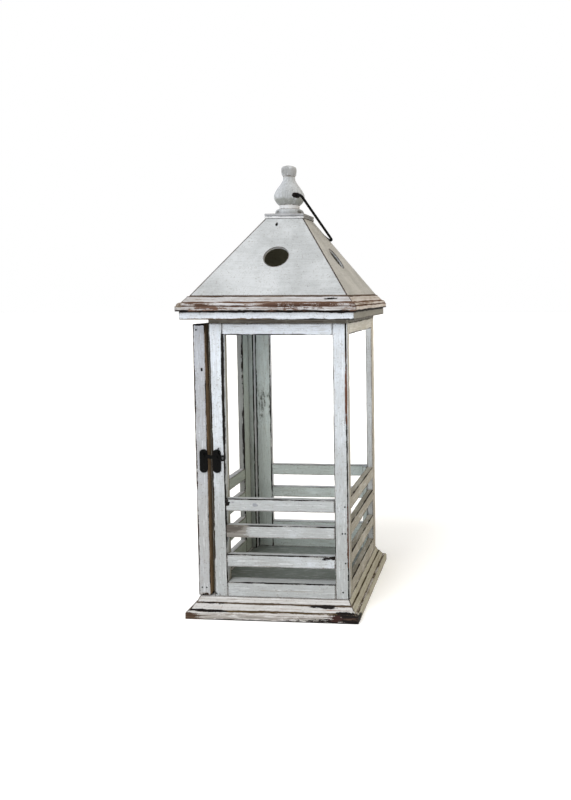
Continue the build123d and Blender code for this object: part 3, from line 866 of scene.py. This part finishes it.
@dataclass
class Case:
    """The fixed frames, the floor board, the jamb and the rear post.

    Attributes:
        front_paint: Finish of the front frame.
        side_paint: Finish of the right frame: a darker, warmer copy of the front paint as painted
            shade, with its inner faces tinted bluer as painted light.
        rear_paint: Finish of the right frame's rear stile: brighter paint on its front face as
            painted light, with painted shade on its right and inner faces.
        inner_paint: Finish of the back frame, the cleat and the rear post, tinted greener on the
            faces towards the front as painted shade.
        jamb: Finish of the jamb behind the open seam.
        plate: Finish of the raw plate under the eaves.
        floor: Finish of the floor board, painted dark grey-green as painted shade inside the case.
    """

    front_paint: WornPaint = WornPaint()
    # Painted shade: the right frame's paint is a darker, warmer copy of the front paint.
    side_paint: WornPaint = WornPaint(
        light=(0.567, 0.558, 0.517), dull=(0.387, 0.367, 0.32), low_paint=(0.25, 0.235, 0.195),
        edge_wear=1.1, outer_way=(1.0, 0.0, 0.0), inner_bare_and_shade_tint=(0.86, 1.01, 1.18),
    )
    # Painted light on the rear stile's front face, painted shade on its right and inner faces.
    rear_paint: WornPaint = WornPaint(
        light=(0.85, 0.9, 0.95), dull=(0.6, 0.62, 0.64), low_paint=(0.4, 0.415, 0.42),
        edge_wear=1.1, right_face_shading=(0.67, 0.6, 0.5), outer_way=(1.0, 0.0, 0.0),
        inner_bare_and_shade_tint=(0.6, 0.64, 0.63),
    )
    # Painted shade: faces towards the front take a greenish tint.
    inner_paint: WornPaint = WornPaint(
        low_paint=(0.5, 0.53, 0.56), clouds=0.6, outer_way=(0.0, 1.0, 0.0),
        inner_bare_and_shade_tint=(0.98, 1.02, 0.93),
    )
    jamb: WornPaint = WornPaint(
        light=(0.34, 0.34, 0.3), dull=(0.24, 0.235, 0.2), low_paint=(0.3, 0.3, 0.26)
    )
    plate: RawWood = RawWood(
        dark=(0.08, 0.072, 0.06), light=(0.2, 0.19, 0.165), dust=0.3
    )
    # Painted shade: the floor board's paint is dark grey-green for the shade inside the case.
    floor: WornPaint = WornPaint(
        light=(0.255, 0.288, 0.275), dull=(0.148, 0.172, 0.16), low_paint=(0.175, 0.197, 0.185),
        edge_wear=0.6, clouds=0.8,
    )

    def front(self) -> None:
        """Builds the front frame."""
        low, high = box_mm("front_slat_middle")
        middle = (low.z + high.z) / 2
        stains = (
            SurfaceMark((low.x + 11, low.y, middle + 1), (27, 4, 17), 2.5, (0.14, 0.127, 0.112), 0.85),
            SurfaceMark((low.x + 6, low.y, high.z - 5), (26, 4, 9), 1.3, (0.055, 0.047, 0.04), 0.8),
        )
        low, high = box_mm("front_slat_upper")
        knot = SurfaceMark((low.x + 2, low.y, high.z - 6), (5, 4, 5), 0.9, INK)
        specks = (
            SurfaceMark((-26.0, low.y, high.z - 9), (6, 4, 3.5), 1.3, (0.16, 0.17, 0.2), 0.7),
            SurfaceMark((low.x + 10, low.y, high.z - 5), (5, 4, 2.6), 1.2, (0.2, 0.2, 0.22), 0.7),
        )
        low, high = box_mm("front_slat_lower")
        chips = SurfaceMark((high.x - 8, low.y, high.z - 2.5), (17, 5, 4), 0.75, INK)
        low, high = box_mm("front_bottom_rail")
        crack = SurfaceMark((low.x + 75, low.y, low.z + 10), (80, 3, 1.2), 0.7, (0.25, 0.24, 0.22), 0.8)
        low, high = box_mm("front_top_rail")
        under = SurfaceMark((0.0, low.y, low.z), (RAIL_RUN, 3.0, 1.8), 0.75, INK)
        low, high = box_mm("front_left_stile")
        foot = SurfaceMark((low.x + 3, low.y, low.z + 4), (6, 4, 6), 0.7, INK)
        BoardSet(
            ("front_left_stile", "front_right_stile", "front_top_rail", "front_slat_upper",
             "front_slat_middle", "front_slat_lower", "front_bottom_rail"),
            paint=self.front_paint,
            surface_marks={
                "front_slat_upper": (top_arris("front_slat_upper"), knot, *specks),
                "front_slat_middle": (top_arris("front_slat_middle"), *stains),
                "front_slat_lower": (top_arris("front_slat_lower"), chips),
                "front_bottom_rail": (top_arris("front_bottom_rail", 0.7), crack),
                "front_top_rail": (under,),
                "front_left_stile": (
                    foot,
                    # The black line down the right arris from the top is worn paint widened by
                    # painted shade on the stile's side face; the brown-black line on the left arris
                    # beside the seam is worn paint darkened by painted shade.
                    upright_arris(
                        "front_left_stile", True, 1.7, 3.0, middle=330.0, reach=160.0, depth=8.0
                    ),
                    upright_arris("front_left_stile", True, 0.8, 1.8, depth=5.0),
                    upright_arris("front_left_stile", False, 1.3, 2.0),
                    upright_arris(
                        "front_left_stile", False, 1.35, 3.4, (0.014, 0.009, 0.006),
                        middle=190.0, reach=200.0, depth=6.0,
                    ),
                ),
                "front_right_stile": (
                    upright_arris("front_right_stile", True, 1.15, 2.3, depth=4.0),
                    upright_arris(
                        "front_right_stile", True, 1.0, 3.0, (0.08, 0.032, 0.02),
                        middle=320.0, reach=70.0, depth=4.5,
                    ),
                    upright_arris(
                        "front_right_stile", True, 0.9, 3.0, (0.06, 0.027, 0.017),
                        middle=120.0, reach=80.0, depth=4.5,
                    ),
                    upright_arris("front_right_stile", False, 0.75, 1.4),
                ),
            },
        ).build()

    def right(self) -> None:
        """Builds the right frame."""
        across = ("right_top_rail", "right_slat_upper", "right_slat_middle",
                  "right_slat_lower", "right_bottom_rail")
        BoardSet(
            ("right_front_stile", *across), paint=self.side_paint,
            surface_marks={node: side_arrises(node) for node in across},
        ).build()
        BoardSet(("right_rear_stile",), paint=self.rear_paint).build()

    def back(self) -> None:
        """Builds the back frame, the cleat and the rear post."""
        low, high = box_mm("back_left_stile")
        blot = SurfaceMark((low.x + 11, low.y, 272), (16, 4, 42), 0.5, (0.05, 0.05, 0.045), 0.85)
        BoardSet(
            ("back_left_stile", "back_top_rail", "back_slat_upper", "back_slat_middle",
             "back_bottom_board", "corner_cleat", "rear_left_post"),
            paint=self.inner_paint,
            surface_marks={
                "back_left_stile": (
                    blot,
                    upright_arris("back_left_stile", True, 0.9, 2.2),
                    upright_arris("back_left_stile", False, 1.2, 2.6),
                ),
                "rear_left_post": (upright_arris("rear_left_post", True, 1.0, 2.0),),
            },
        ).build()

    def build(self) -> None:
        """Builds the frames and dresses the jamb, the floor and the plate."""
        self.front()
        self.right()
        self.back()
        low, high = box_mm("door_jamb")
        rear = SurfaceMark((high.x, high.y, POST_MIDDLE), (3.0, 2.6, POST_RUN), 1.1, (0.03, 0.03, 0.025))
        dress("door_jamb", self.jamb.material("door_jamb", Grain.UPRIGHT, (rear,)))
        dress("base_board", self.floor.material("base_board", Grain.ACROSS))
        dress("top_plate", self.plate.material("top_plate", Grain.ACROSS))


@dataclass
class Door:
    """The hinged leaf.

    Attributes:
        paint: Finish of the leaf, with its inner faces tinted darker and greener as painted shade.
    """

    paint: WornPaint = WornPaint(
        light=(0.4, 0.426, 0.485), dull=(0.31, 0.32, 0.34), low_paint=(0.354, 0.36, 0.367),
        outer_way=(-1.0, 0.0, 0.0), inner_bare_and_shade_tint=(0.84, 0.93, 0.84),
    )

    def build(self) -> None:
        """Builds the leaf's boards."""
        low, high = box_mm("door_front_stile")
        head = SurfaceMark((low.x + 14, low.y, high.z), (18, 4, 2.8), 1.3, INK)
        shaded = SurfaceMark((high.x, high.y - 6, high.z), (3.0, 18, 135), 1.5, (0.1, 0.1, 0.105), 0.85)
        foot = SurfaceMark((low.x + 7, low.y, low.z), (10, 5, 5), 0.8)
        mark = SurfaceMark((low.x + 12, low.y, 356), (2.2, 3, 3.2), 1.5, INK)
        rear_low, rear_high = box_mm("door_rear_stile")
        BoardSet(
            ("door_front_stile",), body="door",
            paint=replace(self.paint, outer_way=(-1.0, 0.0, 0.0), inner_bare_and_shade_tint=(0.82, 0.54, 0.3)),
            surface_marks={"door_front_stile": (
                head, foot, mark, shaded,
                upright_arris("door_front_stile", False, 1.15, 2.8, (0.02, 0.01, 0.008)),
                upright_arris("door_front_stile", True, 0.6, 1.3, depth=1.5),
            )},
        ).build()
        BoardSet(
            ("door_rear_stile", "door_top_rail", "door_slat_upper",
             "door_slat_middle", "door_slat_lower", "door_bottom_rail"),
            body="door",
            paint=self.paint,
            surface_marks={"door_rear_stile": (
                # Painted shade: a grey band down the front face of the rear stile, which lies in
                # the shade inside the lantern.
                SurfaceMark(
                    (rear_low.x + 5, rear_low.y, POST_MIDDLE), (14, 3, 620), 1.6,
                    (0.13, 0.135, 0.12), 0.75,
                ),
                SurfaceMark((rear_high.x, rear_high.y, POST_MIDDLE), (4, 2.6, POST_RUN), 1.1, INK),
                SurfaceMark((rear_high.x, rear_low.y, POST_MIDDLE), (4, 2.0, POST_RUN), 0.8, INK),
            )},
        ).build()


@dataclass
class Base:
    """The moulded base.

    Attributes:
        upper: Height of the upper dirty line, in millimetres.
        lower: Height of the lower one, in millimetres.
        paint: Finish of the mouldings, with painted shade on their right-hand faces.
    """

    upper: float = 20.0
    lower: float = 11.6
    paint: WornPaint = WornPaint(
        light=(0.62, 0.63, 0.65), dull=(0.38, 0.36, 0.34), low_paint=(0.46, 0.455, 0.45),
        edge_wear=1.15, edge_reach=2.0, streaks=1.8, chips=1.8, fibres=0.6,
        right_face_shading=(0.75, 0.73, 0.6),
    )

    def build(self) -> None:
        """Dresses the four mouldings."""
        low, high = box_mm("base_moulding_front")
        upper, lower = self.upper, self.lower
        surface_marks = (
            SurfaceMark((high.x - 5, low.y, 6), (24, 18, 12), 1.35, INK),
            SurfaceMark((high.x - 3, low.y, 7), (20, 16, 9), 0.45, (0.06, 0.035, 0.024), 0.9),
            SurfaceMark((high.x - 8, low.y + 2, 13), (16, 16, 2.4), 0.9, (0.55, 0.54, 0.52)),
            SurfaceMark((low.x + 6, low.y, 5), (26, 14, 9), 1.2, (0.05, 0.03, 0.02)),
            SurfaceMark((low.x + 2, low.y, 6), (14, 12, 8), 0.5, (0.1, 0.068, 0.048), 0.8),
            SurfaceMark((high.x - 46, low.y + 6, upper - 0.5), (36, 9, 3.2), 1.6, INK),
            SurfaceMark((low.x + 36, low.y + 6, upper + 0.3), (30, 9, 2.6), 1.5, INK),
            SurfaceMark((high.x - 16, low.y, 12), (26, 14, 3.4), 1.0, INK),
            SurfaceMark((high.x - 60, low.y, 3), (60, 10, 4), 0.55, INK),
            SurfaceMark((high.x - 33, low.y + 1, 8), (12, 8, 7), 0.3, (0.025, 0.01, 0.008)),
            SurfaceMark((low.x + 28, low.y + 3, lower), (36, 8, 1.8), 0.9, INK),
        )
        side = (
            SurfaceMark((high.x, low.y + 8, 6), (16, 22, 11), 1.3, INK),
            SurfaceMark((high.x, low.y + 4, 7), (14, 16, 9), 0.4, (0.06, 0.035, 0.024), 0.9),
            SurfaceMark((high.x, low.y + 80, 12), (14, 110, 16), 0.2, EARTH, 0.6),
        )
        dress(
            "base_moulding_right",
            self.paint.material(
                "base_moulding_right", Grain.DEEP, side,
                seams=(
                    Seam(upper, 0.6, 0.6, (0.04, 0.032, 0.018)),
                    Seam(lower, 0.6, 0.4, (0.06, 0.046, 0.028)),
                    Seam(15.5, 0.5, 0.0, (0.16, 0.13, 0.09)),
                    Seam(0.2, 1.0, 0.6, (0.05, 0.04, 0.03)),
                ),
            ),
        )
        DressedSet(
            ("base_moulding_front", "base_moulding_back", "base_moulding_left"),
            self.paint,
            surface_marks={"base_moulding_front": surface_marks},
            seams=(
                Seam(5.0, 5.5, 0.45, (0.24, 0.23, 0.215)),
                Seam(8.6, 0.5, 0.25, (0.06, 0.05, 0.045)),
                Seam(3.0, 0.5, 0.2, (0.03, 0.025, 0.02)),
                Seam(upper, 0.7, 1.15, (0.06, 0.044, 0.03)),
                Seam(lower, 0.75, 1.0, (0.06, 0.042, 0.022)),
                Seam(0.2, 1.2, 0.9, INK),
                Seam(15.5, 0.6, -0.1, (0.25, 0.16, 0.13)),
                Seam(5.8, 0.6, 0.25, (0.05, 0.04, 0.03)),
                Seam(24.5, 0.5, -0.1, (0.1, 0.08, 0.06)),
            ),
        ).build()


@dataclass
class Eaves:
    """The eave board and its moulding.

    Attributes:
        bead: Height of the bead's middle above the foot of the moulding, in millimetres.
        board_paint: Finish of the board, bare wood underneath, with painted shade on its right-hand
            face.
        moulding_paint: Finish of the mouldings, with painted light on their right-hand faces.
    """

    bead: float = 9.6
    board_paint: WornPaint = WornPaint(
        light=(0.605, 0.65, 0.715), edge_wear=0.9, outer_way=(0.0, 0.0, 1.0),
        right_face_shading=(0.4, 0.365, 0.3),
    )
    moulding_paint: WornPaint = WornPaint(
        light=(0.45, 0.455, 0.475), dull=(0.31, 0.29, 0.275), edge_wear=1.0, edge_reach=1.8,
        streaks=1.8, chips=1.6, fibres=0.8, right_face_shading=(1.19, 1.11, 1.02),
    )

    def build(self) -> None:
        """Dresses the board and the four mouldings."""
        low, high = box_mm("eave_board")
        arris = (
            SurfaceMark((0.0, low.y, low.z), (900, 3.0, 2.0), 0.7, INK),
            SurfaceMark((low.x + 60, low.y, low.z), (80, 3.0, 3.4), 0.55, EARTH),
        )
        dress(
            "eave_board",
            self.board_paint.material(
                "eave_board", Grain.ACROSS, arris,
                # The black line at the top of the board, under the moulding, is painted shadow of
                # the gap between them over a worn arris.
                (Seam(high.z, 1.0, 1.9, INK), Seam(low.z, 0.9, 0.5, INK)),
            ),
        )
        low, high = box_mm("eave_moulding_front")
        bead = low.z + self.bead
        surface_marks = (
            SurfaceMark((high.x - 45, low.y, bead), (90, 8, 5.4), 0.75, (0.19, 0.115, 0.08), 0.85),
            SurfaceMark((low.x + 40, low.y, bead), (90, 8, 5.4), 0.75, (0.2, 0.14, 0.105), 0.85),
            SurfaceMark((0.0, low.y, bead), (110, 8, 4.2), 0.5, (0.2, 0.145, 0.115), 0.75),
            SurfaceMark((low.x + 4, low.y, bead), (12, 12, 11), 0.9, (0.2, 0.165, 0.125), 0.8),
            SurfaceMark((0.0, low.y, low.z + 4), (400, 8, 5.0), 0.3, (0.1, 0.06, 0.045)),
            SurfaceMark((high.x - 60, low.y, bead), (80, 8, 5.0), 0.45, (0.06, 0.032, 0.022)),
            SurfaceMark((low.x + 30, low.y, bead), (60, 8, 4.6), 0.4, (0.07, 0.04, 0.028)),
            SurfaceMark((high.x - 36, low.y + 12, low.z + 17.0), (12, 9, 2.6), 0.85, INK),
        )
        side = (SurfaceMark((high.x, low.y + 60, bead), (8, 90, 5), 0.6, EARTH, 0.8),)
        DressedSet(
            tuple("eave_moulding_" + side_name for side_name in SIDES),
            self.moulding_paint,
            surface_marks={"eave_moulding_front": surface_marks, "eave_moulding_right": side},
            seams=(
                # The black line at the foot of the moulding is painted shadow of the gap above the
                # board over a worn arris.
                Seam(low.z, 0.9, 1.9, INK),
                Seam(low.z + 4.0, 0.7, -0.1, (0.12, 0.06, 0.04)),
                Seam(low.z + 7.2, 0.9, 1.0, (0.05, 0.025, 0.016)),
                Seam(low.z + 12.1, 0.9, 1.1, (0.07, 0.035, 0.02)),
                Seam(low.z + 16.5, 0.6, 0.0, (0.12, 0.08, 0.06)),
                Seam(high.z - 0.4, 0.8, 0.9, (0.06, 0.04, 0.03)),
            ),
        ).build()


@dataclass
class Roof:
    """The roof panels, apex block and cap.

    Attributes:
        paint: Finish of the panels, with painted shade on their right-hand faces and dark inner
            faces of bare wood and painted shade.
        cap_paint: Finish of the cap, with painted shade on its right-hand faces.
    """

    paint: WornPaint = WornPaint(
        light=(0.49, 0.51, 0.53), dull=(0.34, 0.355, 0.365), edge_wear=1.5, edge_reach=2.6,
        streaks=0.0, chips=0.9, clouds=0.7, hair=0.25, inner_bare_and_shade_tint=(0.2, 0.18, 0.115),
        right_face_shading=(0.98, 0.93, 0.86),
    )
    cap_paint: WornPaint = WornPaint(
        light=(0.39, 0.4, 0.425), dull=(0.245, 0.25, 0.262), edge_wear=0.35,
        edge_reach=1.2, chips=2.9, clouds=0.9, fibres=0.6, hair=0.5,
        right_face_shading=(0.67, 0.665, 0.63),
    )

    def build(self) -> None:
        """Dresses the roof."""
        low, high = box_mm("roof_panel_front")
        surface_marks = (SurfaceMark((-9.5, high.y - 8, high.z - 10.5), (3.2, 7, 4.6), 3.0, INK),)
        slope = (high.y - low.y) / (high.z - low.z)
        # Inner faces of the panels are tinted dark: bare wood, deepened as painted shade inside the
        # roof.
        DressedSet(
            tuple("roof_panel_" + side for side in SIDES),
            self.paint,
            surface_marks={"roof_panel_front": surface_marks},
            seams=(Seam(low.z, 0.7, 0.9, (0.06, 0.045, 0.035)),),
            outward=slope,
        ).build()
        low, high = box_mm("roof_cap")
        dress(
            "roof_cap",
            self.cap_paint.material(
                "roof_cap", Grain.ACROSS,
                (SurfaceMark((0.0, low.y, low.z + 1), (70, 3, 2.4), 0.8, (0.55, 0.56, 0.585)),),
                (
                    Seam(low.z + 0.4, 0.6, 0.5, (0.03, 0.028, 0.026)),
                    Seam(high.z, 0.6, 0.3, (0.07, 0.07, 0.07)),
                ),
            ),
        )
        raw = RawWood(dark=(0.12, 0.08, 0.05), light=(0.3, 0.2, 0.12))
        dress("apex_block", raw.material("apex_block", Grain.ACROSS))


@dataclass
class Finial:
    """The turned finial, its screw and the wire bail.

    Attributes:
        pivot: Height of the bail's holes above the finial's foot, in millimetres.
        paint: Finish of the turning.
        wire: Finish of the bail.
    """

    pivot: float = 28.4
    paint: WornPaint = WornPaint(
        light=(0.49, 0.51, 0.54), dull=(0.3, 0.315, 0.325), edge_wear=0.7, edge_reach=1.4,
        chips=1.6, streaks=0.4, clouds=0.7, fibres=0.6, hair=0.8,
    )
    wire: DarkMetal = DarkMetal(
        base=(0.0015, 0.0015, 0.0015), worn=(0.01, 0.01, 0.01), rust=(0.004, 0.003, 0.0025),
        metallic=0.0, rough=0.5, gloss=0.1,
    )

    def build(self) -> None:
        """Dresses the finial, the screw and the bail."""
        low, high = box_mm("finial")
        pivot = low.z + self.pivot
        grey = (0.2, 0.21, 0.185)
        surface_marks = (
            SurfaceMark((15.5, -17.0, pivot), (7.5, 7.5, 5.5), 2.0, INK),
            SurfaceMark((-16.3, 16.3, pivot), (6.5, 6.5, 4.5), 2.4, INK),
            # Grey band round the lower bulb: patina, deepened by painted shade on the bulb's
            # underside.
            SurfaceMark((0.0, 0.0, low.z + 20.0), (52, 52, 7), 1.4, grey, 0.6),
            SurfaceMark((0.0, 0.0, low.z + 12.0), (52, 52, 4), 1.9, (0.72, 0.73, 0.76), 0.85),
            SurfaceMark((0.0, 0.0, low.z + 66.0), (40, 40, 9), 1.2, (0.19, 0.19, 0.19), 0.6),
            SurfaceMark((17.5, -11.0, low.z + 4), (5, 6, 2.6), 0.8, (0.08, 0.075, 0.065), 0.8),
            SurfaceMark((-13.5, -16.0, low.z + 4), (5, 5, 2.6), 0.9, (0.08, 0.075, 0.065), 0.8),
        )
        seams = (
            Seam(low.z + 9.0, 0.5, 0.6, (0.15, 0.145, 0.13)),
            Seam(low.z + 15.2, 0.5, 0.6, (0.1, 0.1, 0.085)),
            Seam(low.z + 58.6, 0.5, 0.8, (0.08, 0.075, 0.065)),
            Seam(low.z + 73.4, 0.5, 0.6, (0.1, 0.095, 0.085)),
        )
        dress("finial", self.paint.material("finial", Grain.UPRIGHT, surface_marks, seams=seams))
        dress("finial_screw", DarkMetal(base=(0.1, 0.1, 0.1), rough=0.4).material("finial_screw"))
        dress("bail_handle", self.wire.material("bail_handle"))


@dataclass
class Ironwork:
    """Hinges, latch and nails.

    Attributes:
        iron: Finish of the latch.
        steel: Finish of the hinges, screws and nails.
    """

    iron: DarkMetal = DarkMetal(
        base=(0.0015, 0.0015, 0.0015), worn=(0.014, 0.014, 0.015), rust=(0.004, 0.003, 0.0025),
        metallic=0.0, rough=0.42, gloss=0.08,
    )
    steel: DarkMetal = DarkMetal(
        base=(0.07, 0.068, 0.066), worn=(0.3, 0.29, 0.28), rough=0.42, metallic=0.9
    )

    def build(self) -> None:
        """Dresses the metal parts."""
        for node in ("latch_door_plate", "latch_post_plate", "latch_lever",
                     "frame_nails", "door_nails"):
            dress(node, self.iron.material(node))
        for node in ("hinge_frame_leaves", "hinge_door_leaves", "hinge_pins",
                     "hinge_frame_screws", "hinge_door_screws"):
            dress(node, self.steel.material(node))


@dataclass(frozen=True)
class Lamp:
    """A distant soft light aimed at the lantern.

    Attributes:
        name: Name of the light.
        place: Where it shines from.
        spread: How wide it looks from the lantern, in degrees.
        power: Its strength, in watts per square metre.
        colour: Its colour.
    """

    name: str
    place: Point
    spread: float
    power: float
    colour: Colour

    def hang(self) -> None:
        """Puts the light in the scene."""
        lamp = bpy.data.lights.new(self.name, "SUN")
        lamp.angle = math.radians(self.spread)
        lamp.energy = self.power
        lamp.color = self.colour
        holder = bpy.data.objects.new(self.name, lamp)
        bpy.context.collection.objects.link(holder)
        holder.location = self.place
        holder.rotation_euler = (-Vector(self.place)).to_track_quat("-Z", "Y").to_euler()


@dataclass
class Studio:
    """Floor, lights, sky and camera.

    Attributes:
        floor_half: Half the width of the floor, in metres.
        floor_glow: Light given off by the floor, which softens the shadows on it.
        lamps: The lights.
        sky_light: Colour of the light from the sky.
        sky_power: Strength of that light, against 1 for the white that is seen.
        place: Camera's place, in metres.
        turn: Camera's turn to the left, in degrees.
        dip: Camera's dip below the horizon, in degrees.
        roll: Camera's roll, in degrees.
        lens: Focal length, in millimetres.
        shift: Sideways and upright shift of the view.
    """

    floor_half: float = 14.0
    floor_glow: float = 0.16
    lamps: tuple[Lamp, ...] = (
        Lamp("key", (-0.97, -2.08, 1.93), 50.0, 2.6, (0.985, 0.995, 1.0)),
        Lamp("top", (0.0, -0.3, 3.0), 70.0, 1.15, (1.0, 1.0, 1.0)),
        Lamp("side", (2.0, 0.1, 0.9), 60.0, 1.3, (1.0, 0.88, 0.68)),
    )
    sky_light: Colour = (1.0, 0.97, 0.92)
    sky_power: float = 0.15
    place: Point = (0.324, -1.1015, 0.4654)
    turn: float = 4.44
    dip: float = 3.59
    roll: float = 0.21
    lens: float = 32.64
    shift: tuple[float, float] = (-0.1994, -0.079)

    def floor(self) -> None:
        """Lays a plain pale floor."""
        bm = bmesh.new()
        bmesh.ops.create_grid(bm, x_segments=1, y_segments=1, size=self.floor_half)
        mesh = bpy.data.meshes.new("studio_floor")
        bm.to_mesh(mesh)
        bm.free()
        g = Graph("studio_floor")
        place = g.millimetres(Vector((0, 0, 0)))
        cloud = g.noise(place, 0.002, 2.0, 0.5)
        colour = g.mix(g.step(cloud, 0.3, 0.7), (0.965, 0.965, 0.965), (0.98, 0.98, 0.98))
        mesh.materials.append(g.shade(
            colour, 0.9, None, 0.0, Specular_IOR_Level=0.1, Emission_Strength=self.floor_glow
        ))
        floor = bpy.data.objects.new("studio_floor", mesh)
        bpy.context.collection.objects.link(floor)

    def sky(self) -> None:
        """Surrounds the set with plain white, dimmer as light than as backdrop."""
        world = bpy.data.worlds.new("studio_sky")
        world.use_nodes = True
        tree = world.node_tree
        tree.nodes.clear()
        output = tree.nodes.new("ShaderNodeOutputWorld")
        seen = tree.nodes.new("ShaderNodeBackground")
        seen.inputs["Color"].default_value = (1, 1, 1, 1)
        seen.inputs["Strength"].default_value = 1.0
        lighting = tree.nodes.new("ShaderNodeBackground")
        lighting.inputs["Color"].default_value = (*self.sky_light, 1)
        lighting.inputs["Strength"].default_value = self.sky_power
        path = tree.nodes.new("ShaderNodeLightPath")
        mix = tree.nodes.new("ShaderNodeMixShader")
        tree.links.new(path.outputs["Is Camera Ray"], mix.inputs[0])
        tree.links.new(lighting.outputs[0], mix.inputs[1])
        tree.links.new(seen.outputs[0], mix.inputs[2])
        tree.links.new(mix.outputs[0], output.inputs[0])
        bpy.context.scene.world = world

    def camera(self) -> None:
        """Sets up the camera."""
        data = bpy.data.cameras.new("camera")
        data.lens = self.lens
        data.sensor_width = 36.0
        data.shift_x, data.shift_y = self.shift
        data.clip_start, data.clip_end = 0.01, 60.0
        camera = bpy.data.objects.new("camera", data)
        bpy.context.collection.objects.link(camera)
        turn = Matrix.Rotation(math.radians(self.turn), 4, "Z")
        dip = Matrix.Rotation(math.radians(90 - self.dip), 4, "X")
        roll = Matrix.Rotation(math.radians(-self.roll), 4, "Z")
        camera.matrix_world = Matrix.Translation(self.place) @ turn @ dip @ roll
        bpy.context.scene.camera = camera

    def build(self) -> None:
        """Builds the set."""
        bpy.context.scene.view_settings.view_transform = "Standard"
        self.floor()
        for lamp in self.lamps:
            lamp.hang()
        self.sky()
        self.camera()


def main() -> None:
    """Builds the lantern and its studio, in order."""
    logging.basicConfig(level=logging.INFO, format="%(name)s: %(message)s")
    noise.seed_set(WANDER_SEED)
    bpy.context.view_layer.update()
    for assembly in (Base(), Case(), Door(), Eaves(), Roof(), Finial(), Ironwork(), Studio()):
        assembly.build()
        log.info("finished %s", type(assembly).__name__)


if __name__ == "__main__":
    main()
